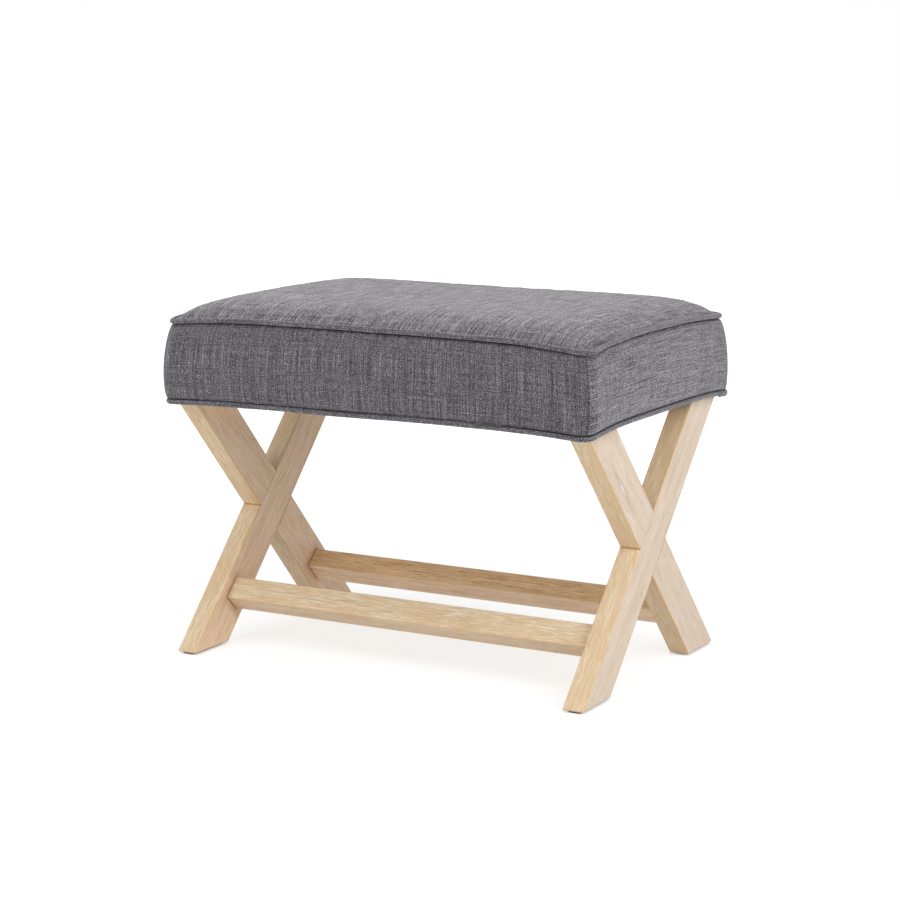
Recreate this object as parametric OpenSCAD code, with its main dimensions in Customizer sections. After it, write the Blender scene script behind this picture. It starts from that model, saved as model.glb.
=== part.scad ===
// Ottoman: a boxed, piped seat on two crossed-leg oak frames tied by two stretchers.
// X runs along the width, Y from front to back, Z up. The origin is on the floor, under the middle.

/* [Leg frames] */
// Width over the outer faces of the two frames
frame_w = 587.4; // [480:1:700]
// Depth over the front and back feet
foot_spread = 395; // [350:1:450]
// Height of a leg frame, from the wood of the feet to its cut top
frame_h = 341; // [310:1:380]
// Width of a leg across its slant
leg_w = 57; // [48:0.5:66]
// Thickness of a leg, along the seat's width
leg_t = 28; // [22:0.1:32]
// Rounding of the long edges of legs and stretchers
wood_ease = 1.8; // [0.6:0.1:3]
// Bevel along the sides of a foot's lower face
foot_ease = 2; // [1:0.1:3]
// Bevel across the toe of a foot
toe_ease = 4; // [2:0.1:4.5]

/* [Stretchers] */
// Size of a stretcher along the slant of its leg
stretcher_h = 32.5; // [27:0.5:38]
// Size of a stretcher across its leg
stretcher_t = 29; // [24:0.5:34]
// Distance from a frame's crossing down the leg to the middle of a stretcher
stretcher_drop = 147; // [125:1:160]
// Diameter of the dowels
dowel_d = 8; // [6:0.5:10]
// Length of a dowel inside its leg
dowel_in_leg = 17; // [12:0.5:19]
// Length of a dowel inside its stretcher
dowel_in_rail = 22; // [15:0.5:30]
// Distance between the two dowels of a stretcher's end
dowel_pitch = 15; // [12:0.5:16]

/* [Glides] */
// Thickness of a glide
glide_t = 2; // [1.7:0.1:4]
// Margin of a glide inside the foot's outline
glide_inset = 5; // [4.6:0.1:6]
// Depth of a nail's head above the glide's lower face
nail_sink = 0.4; // [0.3:0.1:0.6]
// Diameter of a glide's nail
nail_d = 2; // [1.6:0.1:2.6]
// Length of a glide's nail in the foot
nail_l = 18; // [12:0.5:24]
// Diameter of the nail's head
nail_head_d = 5; // [4:0.1:6]
// Thickness of the nail's head
nail_head_t = 0.8; // [0.6:0.1:1]

/* [Seat frame] */
// How far the seat stands out past the feet, in front and behind
seat_overhang = 1.5; // [0:0.1:6]
// How far the seat stands out past the leg frames, at each end
seat_end_overhang = 0.3; // [0:0.1:6]
// Height of the seat frame's rails
rail_h = 50; // [44:1:60]
// Thickness of the seat frame's rails
rail_t = 18; // [16:0.5:22]
// Rounding of the seat frame's upright corners
rail_r = 8; // [6:0.5:9]
// Thickness of the deck panel on the rails
deck_t = 9; // [6:0.5:12]
// Height of a bearer between the front and back rails
bearer_h = 20; // [16:0.5:23]
// Length of a corner block along each rail
block_leg = 44; // [32:1:56]
// Height of a corner block
block_h = 20; // [18:1:26]

/* [Cleats] */
// Width of a cleat on the inner side of a leg frame
cleat_w = 30; // [26:0.5:36]
// Height of a cleat
cleat_h = 18; // [16:0.5:20]
// Distance of a cleat's ends inside the frame's front and back
cleat_inset = 34; // [30:1:40]
// Rounding of a cleat's lower edges
cleat_ease = 2; // [1:0.1:3]
// Distance from a cleat's end to its first screw
cleat_screw_margin = 14; // [10:0.5:18]
// Distance between the two screws at a cleat's end
cleat_screw_pitch = 24; // [16:0.5:26]

/* [Fasteners] */
// Shank diameter of the wood screws
screw_d = 4; // [3.5:0.1:5]
// Head diameter of the wood screws
screw_head_d = 8; // [7:0.1:9.5]
// Depth of the screws' heads below the wood
screw_sink = 0.8; // [0.6:0.1:1.2]
// Length of the screws in the seat frame's corners and bearers
frame_screw_l = 45; // [38:0.5:50]
// Length of the screws that hold the deck
deck_screw_l = 30; // [24:0.5:36]
// Length of the screws from a cleat into a leg
cleat_screw_l = 45; // [40:0.5:50]
// Diameter of the seat bolts
bolt_d = 6; // [5:0.5:7]
// Head diameter of the seat bolts
bolt_head_d = 11; // [10:0.5:13]
// Head height of the seat bolts
bolt_head_h = 4; // [3:0.2:5]
// Size across the flats of the socket in a bolt's head
bolt_socket = 5; // [4:0.5:6]
// Depth of the socket in a bolt's head
bolt_socket_h = 2.4; // [2:0.1:2.8]
// Distance from the seat's middle line to a seat bolt, front to back
bolt_reach = 75; // [60:1:85]
// Outer diameter of the bolts' washers
washer_d = 16; // [14:0.5:18]
// Thickness of the bolts' washers
washer_t = 1.4; // [1:0.1:2]
// Diameter of a tee nut's flange
tee_flange_d = 19; // [17:0.5:22]
// Thickness of a tee nut's flange
tee_flange_t = 1.5; // [1.2:0.1:2]
// Outer diameter of a tee nut's barrel
tee_barrel_d = 8.5; // [8:0.1:10]
// Length of a tee nut's barrel
tee_barrel_l = 9; // [7:0.5:12]

/* [Cushion] */
// Reach of the top seam beyond the seat frame
side_pad = 4; // [3.4:0.1:8]
// Height of the foam between the deck and the top seam
foam_edge_h = 39.7; // [32:0.1:60]
// Height of the crown above the top seam
crown_h = 26; // [18:0.5:34]
// Rounding of the cover's upright corners at the top seam
seam_r = 20; // [16:0.5:30]
// Rounding of the cover's upright corners at the bottom seam
hem_r = 12; // [8:0.5:20]
// Drop of the top seam at the corners
corner_dip = 10; // [4:0.5:14]
// Swell of the band between its seams
band_swell = 6.2; // [4:0.1:8]
// Reach of the bottom seam beyond the top seam
band_flare = 5; // [3:0.1:6]
// Drop of the bottom seam below the seat frame
hem_drop = 1.6; // [1.5:0.1:5]
// Further drop of the bottom seam at the corners
hem_sag = 4; // [1:0.1:6]
// Setback of the bottom piping inside the bottom seam
hem_tuck = 2; // [0.5:0.1:3]
// Diameter of the piping
piping_d = 6.6; // [5:0.1:7.4]
// Thickness of the cover's fabric
fabric_t = 1.2; // [0.8:0.1:1.6]
// Thickness of the wadding on the foam
wadding_t = 6; // [4:0.5:9]
// Clearance between soft layers
soft_gap = 0.3; // [0.2:0.05:0.5]
// Width of a flange under its rail
flange_w = 22; // [16:0.5:28]
// Width of the dust cover's lap over a flange
dust_lap = 8; // [5:0.5:12]
// Thickness of the dust cover
dust_t = 0.8; // [0.6:0.1:1]

/* [Hidden] */
// Shape of the crown, of the seam's dips and of the band's swell
CROWN_X_SHARE = 9.6;
CROWN_Y_SHARE = 6.7;
CROWN_EDGE_SHARE = 0.8;
CROWN_CORNER_SHARE = 3;
DIP_X_SHARE = 4.5;
DIP_Y_SHARE = 2.6;
SWELL_SHARE = 2.6;
CORNER_SHARE = 1.2;
// Shares of the way from the middle to the rim at which a crowned layer has its rings of points
CROWN_SHARES = [0.45, 0.72, 0.86, 0.93, 0.97, 0.99, 1];
INNER_CROWN_SHARES = [0.6, 0.86, 0.96, 1];
// Shares of the band's height, from its bottom seam up
BAND_SHARES = [0, 0.04, 0.14, 0.36, 0.64, 0.86, 1];
INNER_BAND_SHARES = [0, 0.2, 0.5, 0.8, 1];
// Parts of a front edge, of an end edge, of half a corner and of the piping's round
FRONT_STEPS = 8;
END_STEPS = 6;
CORNER_STEPS = 3;
PIPING_STEPS = 8;
// Overrun of every cut
over = 1;
// Clearances round fasteners, at the blind ends of their holes, and beside the legs
fit_gap = 0.1;
end_gap = 1;
side_gap = 1;
$fn = 48;

linen = [0.36, 0.36, 0.38];
oak = [0.80, 0.70, 0.56];
pine = [0.84, 0.72, 0.50];
steel = [0.70, 0.71, 0.73];

// Heights
seat_z = glide_t + frame_h;
deck_z = seat_z + rail_h;
foam_z = deck_z + deck_t;
seam_z = foam_z + foam_edge_h;
hem_z = seat_z - hem_drop;
cross_z = glide_t + frame_h / 2;

// Slant of the legs, for which the feet reach over the given depth
slant = atan2(frame_h, foot_spread) + asin(leg_w / norm([frame_h, foot_spread]));
bar_l = frame_h / sin(slant) + 2 * leg_w / tan(slant);
foot_l = leg_w / sin(slant);
foot_y = (foot_spread - foot_l) / 2;
leg_x = (frame_w - leg_t) / 2;
stretcher_l = frame_w - 2 * leg_t;

// Cleats and bearers
cleat_x = frame_w / 2 - leg_t - cleat_w / 2;
cleat_l = foot_spread - 2 * cleat_inset;
seat_w = frame_w + 2 * seat_end_overhang;
seat_d = foot_spread + 2 * seat_overhang;
bearer_w = seat_w / 2 - rail_t - (cleat_x - cleat_w / 2);
bearer_x = cleat_x - cleat_w / 2 + bearer_w / 2;
bearer_l = seat_d - 2 * rail_t;
screw_head_h = (screw_head_d - screw_d) / 2;

// Half sizes of the cover's outline at the top seam
seam_x = seat_w / 2 + side_pad;
seam_y = seat_d / 2 + side_pad;
piping_r = piping_d / 2;
rim_inset = piping_r + soft_gap;

// Sides are -1 for left and 1 for right, ends are -1 for front and 1 for back.
// A child drawn on the right, or at the back, is mirrored to the other side or end.
module on_side(side) {
    if (side > 0) children();
    else mirror([1, 0, 0]) children();
}

module on_end(end) {
    if (end > 0) children();
    else mirror([0, 1, 0]) children();
}

module on_corners() {
    for (side = [-1, 1], end = [-1, 1]) on_side(side) on_end(end) children();
}

// Rectangle with rounded corners, centred
module soft_rect(w, h, r) {
    square([w - 2 * r, h], center = true);
    square([w, h - 2 * r], center = true);
    for (x = [-1, 1], y = [-1, 1]) translate([x * (w / 2 - r), y * (h / 2 - r)]) circle(r);
}

// Wood screw that points along +Z from a face at z = 0, its countersunk head just below the face
module screw(l) {
    translate([0, 0, screw_sink]) {
        cylinder(h = screw_head_h, d1 = screw_head_d, d2 = screw_d);
        cylinder(h = l, d = screw_d);
    }
}

module screw_hole(l) {
    r = screw_d / 2 + fit_gap;
    translate([0, 0, -over]) cylinder(h = over + screw_sink, r = r + screw_head_h);
    translate([0, 0, screw_sink]) cylinder(h = screw_head_h, r1 = r + screw_head_h, r2 = r);
    translate([0, 0, screw_sink]) cylinder(h = l + end_gap, r = r);
}

// Legs: a leg of lean 1 rises to the back and a leg of lean -1 rises to the front

// Puts a child's Z axis along a leg and its origin at the frame's crossing
module along_leg(side, lean) {
    translate([side * leg_x, 0, cross_z]) rotate([lean * (slant - 90), 0, 0]) children();
}

// What a frame leaves of its legs, seen from the front: cut level, and bevelled along the feet
module frame_end_view() {
    foot_w = leg_t / 2 - foot_ease;
    wide = leg_t / 2 + over;
    polygon([[-foot_w, 0], [foot_w, 0], [wide, foot_ease + over], [wide, frame_h],
        [-wide, frame_h], [-wide, foot_ease + over]]);
}

module leg_bar(side, lean) {
    intersection() {
        along_leg(side, lean) translate([0, 0, -bar_l / 2])
            linear_extrude(bar_l) soft_rect(leg_t, leg_w, wood_ease);
        translate([side * leg_x, foot_spread, glide_t]) rotate([90, 0, 0])
            linear_extrude(2 * foot_spread) frame_end_view();
    }
}

// The half-lap that a leg gives up to the other leg of its frame
module lap(side, lean) {
    along_leg(side, -lean) translate([lean > 0 ? -leg_t / 2 - over : 0, -leg_w / 2, -leg_w])
        cube([leg_t / 2 + over, leg_w, 2 * leg_w]);
}

// The two dowels in the inner face of a leg, with the gaps of their holes
module dowel_pair(side, lean, gap, blind) {
    along_leg(side, lean) for (k = [-1, 1])
        translate([side * (-leg_t / 2 - dowel_in_rail - blind), 0, k * dowel_pitch / 2 - stretcher_drop])
            rotate([0, side * 90, 0])
                cylinder(h = dowel_in_rail + dowel_in_leg + 2 * blind, d = dowel_d + 2 * gap);
}

module leg(side, lean) {
    color(oak) difference() {
        leg_bar(side, lean);
        lap(side, lean);
        dowel_pair(side, lean, fit_gap, end_gap);
        on_side(side) at_cleat_screws() screw_hole(cleat_screw_l);
        at_foot(side, -lean) toe_bevel(-lean);
        at_foot(side, -lean) translate([0, 0, -over])
            cylinder(h = over + glide_t + nail_l + end_gap, d = nail_d + 2 * fit_gap);
    }
}

// Bar turned by 45 degrees along the toe of a foot, which it bevels
module toe_bevel(end) {
    c = toe_ease * sqrt(2);
    translate([0, end * foot_l / 2, glide_t]) rotate([45, 0, 0])
        cube([leg_t + 2 * over, c, c], center = true);
}

// Stretchers: the front one meets the legs that rise to the back, the back one the others
module stretcher(lean) {
    color(oak) difference() {
        translate([-leg_x - stretcher_l / 2, 0, 0]) along_leg(1, lean) translate([0, 0, -stretcher_drop])
            rotate([90, 0, 90]) linear_extrude(stretcher_l) soft_rect(stretcher_t, stretcher_h, wood_ease);
        for (side = [-1, 1]) dowel_pair(side, lean, fit_gap, end_gap);
    }
}

module stretcher_dowels() {
    color(pine) for (side = [-1, 1], lean = [-1, 1]) dowel_pair(side, lean, 0, 0);
}

// Glides
module at_foot(side, end) {
    translate([side * leg_x, end * foot_y, 0]) children();
}

module glide(side, end) {
    color([0.22, 0.20, 0.19]) at_foot(side, end) difference() {
        linear_extrude(glide_t)
            soft_rect(leg_t - 2 * glide_inset, foot_l - 2 * glide_inset, glide_inset);
        translate([0, 0, -over]) cylinder(h = glide_t + 2 * over, d = nail_d + 2 * fit_gap);
        translate([0, 0, -over])
            cylinder(h = over + nail_sink + nail_head_t, d = nail_head_d + 2 * fit_gap);
    }
}

module glide_nails() {
    color(steel) for (side = [-1, 1], end = [-1, 1]) at_foot(side, end) translate([0, 0, nail_sink]) {
        cylinder(h = nail_head_t, d = nail_head_d);
        cylinder(h = glide_t - nail_sink + nail_l, d = nail_d);
    }
}

// Cleats, and what joins them to the legs and to the seat

// Screws on the right, from the cleat's inner face outwards
module at_cleat_screws() {
    for (end = [-1, 1], k = [0, 1])
        translate([cleat_x - cleat_w / 2,
            end * (cleat_l / 2 - cleat_screw_margin - k * cleat_screw_pitch), seat_z - cleat_h / 2])
            rotate([0, 90, 0]) children();
}

// Bolts, from the seat frame's lower face
module at_bolts() {
    on_corners() translate([cleat_x, bolt_reach, seat_z]) children();
}

module bolt_hole(h) {
    translate([0, 0, -over]) cylinder(h = h + 2 * over, d = bolt_d + 2 * fit_gap);
}

module cleat(side) {
    color(pine) difference() {
        translate([side * cleat_x, cleat_l / 2, seat_z]) rotate([90, 0, 0]) linear_extrude(cleat_l) {
            translate([0, -cleat_h / 2]) soft_rect(cleat_w, cleat_h, cleat_ease);
            translate([-cleat_w / 2, -cleat_h / 2]) square([cleat_w, cleat_h / 2]);
        }
        on_side(side) at_cleat_screws() screw_hole(cleat_screw_l);
        at_bolts() translate([0, 0, -cleat_h]) bolt_hole(cleat_h);
    }
}

module cleat_screws() {
    color(steel) for (side = [-1, 1]) on_side(side) at_cleat_screws() screw(cleat_screw_l);
}

module seat_bolts() {
    color(steel) at_bolts() translate([0, 0, -cleat_h - washer_t]) {
        translate([0, 0, -bolt_head_h]) difference() {
            cylinder(h = bolt_head_h, d = bolt_head_d);
            translate([0, 0, -over])
                cylinder(h = over + bolt_socket_h, d = bolt_socket / cos(30), $fn = 6);
        }
        cylinder(h = washer_t + cleat_h + bearer_h - end_gap, d = bolt_d);
    }
}

module bolt_washers() {
    color(steel) at_bolts() translate([0, 0, -cleat_h - washer_t]) difference() {
        cylinder(h = washer_t, d = washer_d);
        bolt_hole(washer_t);
    }
}

// Tee nuts, sunk flush into the tops of the bearers
module tee_nuts() {
    color(steel) at_bolts() difference() {
        union() {
            translate([0, 0, bearer_h - tee_flange_t]) cylinder(h = tee_flange_t, d = tee_flange_d);
            translate([0, 0, bearer_h - tee_barrel_l]) cylinder(h = tee_barrel_l, d = tee_barrel_d);
        }
        bolt_hole(bearer_h);
    }
}

// Seat frame

module seat_plan() {
    soft_rect(seat_w, seat_d, rail_r);
}

// Corner screws, from the long rails' outer faces into the ends of the short rails
module at_rail_screws() {
    on_corners() for (k = [1, 3])
        translate([(seat_w - rail_t) / 2, seat_d / 2, seat_z + k * rail_h / 4])
            rotate([90, 0, 0]) children();
}

module at_bearer_screws() {
    on_corners() for (k = [-1, 1])
        translate([bearer_x + k * bearer_w / 4, seat_d / 2, seat_z + bearer_h / 2])
            rotate([90, 0, 0]) children();
}

// Deck screws, from the deck's top down into the rails
module at_deck_screws() {
    for (k = [-1, 0, 1], end = [-1, 1])
        translate([k * seat_w / 3, end * (seat_d - rail_t) / 2, foam_z]) mirror([0, 0, 1]) children();
    for (side = [-1, 1], end = [-1, 1])
        translate([side * (seat_w - rail_t) / 2, end * seat_d / 4, foam_z]) mirror([0, 0, 1]) children();
}

// Long rail at the front or back, its outer corners rounded
module seat_rail_long(end) {
    color(pine) difference() {
        intersection() {
            translate([0, 0, seat_z]) linear_extrude(rail_h) seat_plan();
            translate([-seat_w / 2, end * (seat_d - rail_t) / 2 - rail_t / 2, seat_z])
                cube([seat_w, rail_t, rail_h]);
        }
        at_rail_screws() screw_hole(frame_screw_l);
        at_bearer_screws() screw_hole(frame_screw_l);
        at_deck_screws() screw_hole(deck_screw_l);
    }
}

// Short rail at the left or right, between the long ones
module seat_rail_short(side) {
    color(pine) difference() {
        translate([side * (seat_w - rail_t) / 2 - rail_t / 2, -bearer_l / 2, seat_z])
            cube([rail_t, bearer_l, rail_h]);
        at_rail_screws() screw_hole(frame_screw_l);
        at_deck_screws() screw_hole(deck_screw_l);
    }
}

module rail_screws() {
    color(steel) at_rail_screws() screw(frame_screw_l);
}

module bearer_screws() {
    color(steel) at_bearer_screws() screw(frame_screw_l);
}

module bearer(side) {
    color(pine) difference() {
        translate([side * bearer_x - bearer_w / 2, -bearer_l / 2, seat_z])
            cube([bearer_w, bearer_l, bearer_h]);
        at_bearer_screws() screw_hole(frame_screw_l);
        at_bolts() bolt_hole(bearer_h);
        at_bolts() translate([0, 0, bearer_h - tee_barrel_l - fit_gap])
            cylinder(h = tee_barrel_l + fit_gap + over, d = tee_barrel_d + 2 * fit_gap);
        at_bolts() translate([0, 0, bearer_h - tee_flange_t])
            cylinder(h = tee_flange_t + over, d = tee_flange_d + 2 * fit_gap);
    }
}

// Blocks glued into the corners under the deck, their inner side cut off at a slant
module corner_blocks() {
    color(pine) on_corners() translate([seat_w / 2 - rail_t, bearer_l / 2, deck_z - block_h])
        linear_extrude(block_h) polygon([[0, 0], [-block_leg, 0], [-block_leg, -rail_t / 2],
            [-rail_t / 2, -block_leg], [0, -block_leg]]);
}

module deck_panel() {
    color([0.80, 0.66, 0.44]) difference() {
        translate([0, 0, deck_z]) linear_extrude(deck_t) seat_plan();
        at_deck_screws() screw_hole(deck_screw_l);
    }
}

module deck_screws() {
    color(steel) at_deck_screws() screw(deck_screw_l);
}

// Cushion. A ring is a rounded outline of the given half sizes, as points that run
// counter-clockwise, seen from above, from the middle of the front left corner.

function arc(x, y, r, from) = [for (i = [0 : CORNER_STEPS - 1])
    let (a = from + 45 * i / CORNER_STEPS) [x + r * cos(a), y + r * sin(a)]];

// One edge with half a corner at each end, drawn as a front edge; its points crowd towards the corners
function edge(x, y, r, steps) = concat(
    arc(r - x, r - y, r, 225),
    [for (i = [0 : steps - 1]) [(x - r) * sin(180 * i / steps - 90), -y]],
    arc(x - r, r - y, r, 270));

function turned(points) = [for (p = points) [-p[1], p[0]]];

function half_ring(x, y, r) = concat(edge(x, y, r, FRONT_STEPS), turned(edge(y, x, r, END_STEPS)));

function ring(x, y, r) = concat(half_ring(x, y, r), [for (p = half_ring(x, y, r)) -p]);

// Where each band panel starts on a ring: front, right, back, left, and round to the front
PANEL_STARTS = [for (k = [0 : 4])
    ceil(k / 2) * (FRONT_STEPS + 2 * CORNER_STEPS) + floor(k / 2) * (END_STEPS + 2 * CORNER_STEPS)];
RING_POINTS = PANEL_STARTS[4];

// How far a seam sinks towards the corners, where it drops by the given height
function dip(p, drop) = drop * pow(min(1, abs(p[0]) / seam_x), DIP_X_SHARE)
    * pow(min(1, abs(p[1]) / seam_y), DIP_Y_SHARE);

// Height of the crown at shares of its half width and half depth
function crown(h, s, t) =
    let (k = CROWN_CORNER_SHARE, fall = pow(abs(s), k * CROWN_X_SHARE) + pow(abs(t), k * CROWN_Y_SHARE))
    h * pow(max(0, 1 - pow(fall, 1 / k)), CROWN_EDGE_SHARE);

// Ring of a layer that lies inset below the cover's outside
function crown_ring(share, inset) =
    let (x = seam_x - inset, y = seam_y - inset,
         points = ring((x - rim_inset) * share, (y - rim_inset) * share, (seam_r - rim_inset) * share))
    [for (p = points)
        [p[0], p[1], seam_z - dip(p, corner_dip) + crown(crown_h - inset, p[0] / x, p[1] / y)]];

// How far the band stands out of the top seam, at a share of its height
function band_out(share) = band_flare * (1 - share)
    + band_swell * pow(1 - pow(abs(2 * share - 1), SWELL_SHARE), CROWN_EDGE_SHARE);

// Rounding of the band's corners, which are squarer in its lower half
function band_r(share) = hem_r + (seam_r - hem_r) * pow(max(0, 2 * share - 1), CORNER_SHARE);

// Ring inside the band, between the heights low and high at the edges' middle
function band_ring(share, inset, low, low_drop, high) =
    let (out = band_out(share) - inset)
    [for (p = ring(seam_x + out, seam_y + out, band_r(share) + out))
        [p[0], p[1], (1 - share) * (low - dip(p, low_drop)) + share * (high - dip(p, corner_dip))]];

// Triangles between rows of points. The rows run up the outside and then inwards.
function skin(rows, cols, round_rows, round_cols) =
    [for (k = [0 : rows - (round_rows ? 1 : 2)], i = [0 : cols - (round_cols ? 1 : 2)])
        let (a = k * cols, b = (k + 1) % rows * cols, j = (i + 1) % cols)
            each [[a + i, b + j, a + j], [a + i, b + i, b + j]]];

// Solid of whole rings, closed by a point under its first ring and a point over its last one
module capped(rings, low, high) {
    n = len(rings);
    last = (n - 1) * RING_POINTS;
    points = concat([for (r = rings) each r], [low, high]);
    fans = [for (i = [0 : RING_POINTS - 1]) let (j = (i + 1) % RING_POINTS)
        each [[len(points) - 2, i, j], [last + i, len(points) - 1, last + j]]];
    polyhedron(points, concat(skin(n, RING_POINTS, false, true), fans));
}

function reversed(list) = [for (i = [len(list) - 1 : -1 : 0]) list[i]];

// Crowned sheet between two insets
module crown_sheet(outer, inner, shares) {
    rings = concat([for (s = shares) crown_ring(s, inner)],
        [for (s = reversed(shares)) crown_ring(s, outer)]);
    capped(rings, [0, 0, seam_z + crown_h - 2 * inner], [0, 0, seam_z + crown_h - 2 * outer]);
}

// Panel of the band between two corner seams
module band_panel(k) {
    rings = concat([for (s = BAND_SHARES) band_ring(s, 0, hem_z, hem_sag, seam_z - soft_gap)],
        [for (s = reversed(BAND_SHARES)) band_ring(s, fabric_t, hem_z, hem_sag, seam_z - soft_gap)]);
    rows = len(rings);
    cols = PANEL_STARTS[k + 1] - PANEL_STARTS[k] + 1;
    points = [for (r = rings) for (i = [0 : cols - 1]) r[(PANEL_STARTS[k] + i) % RING_POINTS]];
    e = cols - 1;
    ends = [for (j = [0 : rows / 2 - 2])
        let (a = j * cols, b = a + cols, d = (rows - 1 - j) * cols, c = d - cols)
        each [[a, d, c], [a, c, b], [a + e, c + e, d + e], [a + e, b + e, c + e]]];
    color(linen) polyhedron(points, concat(skin(rows, cols, true, false), ends));
}

// Piping round a seam: its middle stands out of the top seam, at a height, and drops at the corners
module piping(out, corner_r, z, drop) {
    rings = [for (k = [0 : PIPING_STEPS - 1])
        let (a = 360 * k / PIPING_STEPS, o = out + piping_r * cos(a))
        [for (p = ring(seam_x + o, seam_y + o, corner_r + o))
            [p[0], p[1], z + piping_r * sin(a) - dip(p, drop)]]];
    color(linen) polyhedron([for (r = rings) each r], skin(PIPING_STEPS, RING_POINTS, true, true));
}

// The foam stands upright on the deck and draws in from its shoulder to the crown
function foam_inset() = fabric_t + wadding_t + 2 * soft_gap;
function shoulder_z() = foam_z + foam_edge_h / 2;
function seat_ring(gap, z) =
    [for (p = ring(seat_w / 2 + gap, seat_d / 2 + gap, rail_r + gap)) [p[0], p[1], z]];

module foam_pad() {
    inset = foam_inset();
    rings = concat([seat_ring(0, foam_z), seat_ring(0, shoulder_z())],
        [for (s = reversed(INNER_CROWN_SHARES)) crown_ring(s, inset)]);
    color([0.93, 0.87, 0.62]) capped(rings, [0, 0, foam_z], [0, 0, seam_z + crown_h - 2 * inset]);
}

module top_wadding() {
    outer = fabric_t + soft_gap;
    color("white") crown_sheet(outer, outer + wadding_t, INNER_CROWN_SHARES);
}

// Wadding between the band and what stands inside it, from the seat frame's foot to the seam
module side_wadding() {
    top = seam_z - 2 * soft_gap;
    neck = [for (p = crown_ring(1, foam_inset() - 2 * soft_gap)) [p[0], p[1], top - dip(p, corner_dip)]];
    rings = concat([for (s = INNER_BAND_SHARES) band_ring(s, fabric_t + soft_gap, seat_z, 0, top)],
        [neck, seat_ring(soft_gap, shoulder_z()), seat_ring(soft_gap, seat_z)]);
    color("white") polyhedron([for (r = rings) each r], skin(len(rings), RING_POINTS, true, true));
}

module cover_top() {
    color(linen) crown_sheet(0, fabric_t, CROWN_SHARES);
}

module piping_top() {
    piping(0, seam_r, seam_z + piping_r, corner_dip);
}

module piping_bottom() {
    piping(band_flare - hem_tuck, hem_r, hem_z - soft_gap - piping_r, hem_sag);
}

// Flange of the band, turned in and stapled under a rail, between the leg frames or between the legs
module flange(half_l, inner, outer) {
    color(linen) translate([-half_l, inner, seat_z - fabric_t]) cube([2 * half_l, outer - inner, fabric_t]);
}

module flange_long(end) {
    on_end(end) flange(frame_w / 2 - leg_t - side_gap, seat_d / 2 - flange_w,
        seam_y + band_flare - fabric_t - soft_gap);
}

module flange_short(side) {
    on_side(side) rotate([0, 0, -90]) flange(foot_spread / 2 - foot_l - side_gap, seat_w / 2 - flange_w,
        seam_x + band_flare - fabric_t - soft_gap);
}

module dust_cover() {
    x = cleat_x - cleat_w / 2 - side_gap;
    y = seat_d / 2 - flange_w + dust_lap;
    color([0.12, 0.12, 0.13]) translate([-x, -y, seat_z - fabric_t - soft_gap - dust_t])
        cube([2 * x, 2 * y, dust_t]);
}

leg(-1, -1);  // leg_left_a
leg(-1, 1);  // leg_left_b
leg(1, -1);  // leg_right_a
leg(1, 1);  // leg_right_b
stretcher(1);  // stretcher_front
stretcher(-1);  // stretcher_back
stretcher_dowels();
glide(-1, -1);  // glide_front_left
glide(1, -1);  // glide_front_right
glide(-1, 1);  // glide_back_left
glide(1, 1);  // glide_back_right
glide_nails();
cleat(-1);  // cleat_left
cleat(1);  // cleat_right
cleat_screws();
seat_bolts();
bolt_washers();
tee_nuts();
seat_rail_long(-1);  // seat_rail_front
seat_rail_long(1);  // seat_rail_back
seat_rail_short(-1);  // seat_rail_left
seat_rail_short(1);  // seat_rail_right
bearer(-1);  // bearer_left
bearer(1);  // bearer_right
corner_blocks();
rail_screws();
bearer_screws();
deck_panel();
deck_screws();
foam_pad();
top_wadding();
side_wadding();
cover_top();
band_panel(0);  // cover_band_front
band_panel(1);  // cover_band_right
band_panel(2);  // cover_band_back
band_panel(3);  // cover_band_left
piping_top();
piping_bottom();
flange_long(-1);  // flange_front
flange_long(1);  // flange_back
flange_short(-1);  // flange_left
flange_short(1);  // flange_right
dust_cover();
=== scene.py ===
"""Looks of the ottoman: a boxed, piped linen seat on two crossed-leg oak frames.

Lengths are in metres. X runs along the width, Y from front to back, Z up, as in the CAD model.
"""

import math
from functools import partial

import bmesh
import bpy
import numpy as np
from mathutils import Matrix, Vector


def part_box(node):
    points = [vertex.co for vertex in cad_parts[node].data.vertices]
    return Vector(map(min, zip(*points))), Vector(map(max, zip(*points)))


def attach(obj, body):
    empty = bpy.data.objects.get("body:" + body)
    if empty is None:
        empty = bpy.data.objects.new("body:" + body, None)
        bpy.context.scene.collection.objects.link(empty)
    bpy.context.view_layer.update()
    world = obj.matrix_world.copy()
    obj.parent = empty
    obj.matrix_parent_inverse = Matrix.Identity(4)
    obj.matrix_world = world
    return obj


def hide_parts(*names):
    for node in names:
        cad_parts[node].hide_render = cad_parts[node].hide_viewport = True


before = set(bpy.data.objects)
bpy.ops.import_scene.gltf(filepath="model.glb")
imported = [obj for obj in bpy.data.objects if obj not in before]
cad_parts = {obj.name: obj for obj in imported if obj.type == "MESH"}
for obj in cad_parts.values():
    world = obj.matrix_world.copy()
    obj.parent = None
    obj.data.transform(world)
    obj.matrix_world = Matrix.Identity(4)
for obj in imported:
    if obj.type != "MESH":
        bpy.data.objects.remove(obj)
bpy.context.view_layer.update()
MM = 0.001
PIPING_R = 3.3 * MM
HEM_DROP = 1.6 * MM

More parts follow.
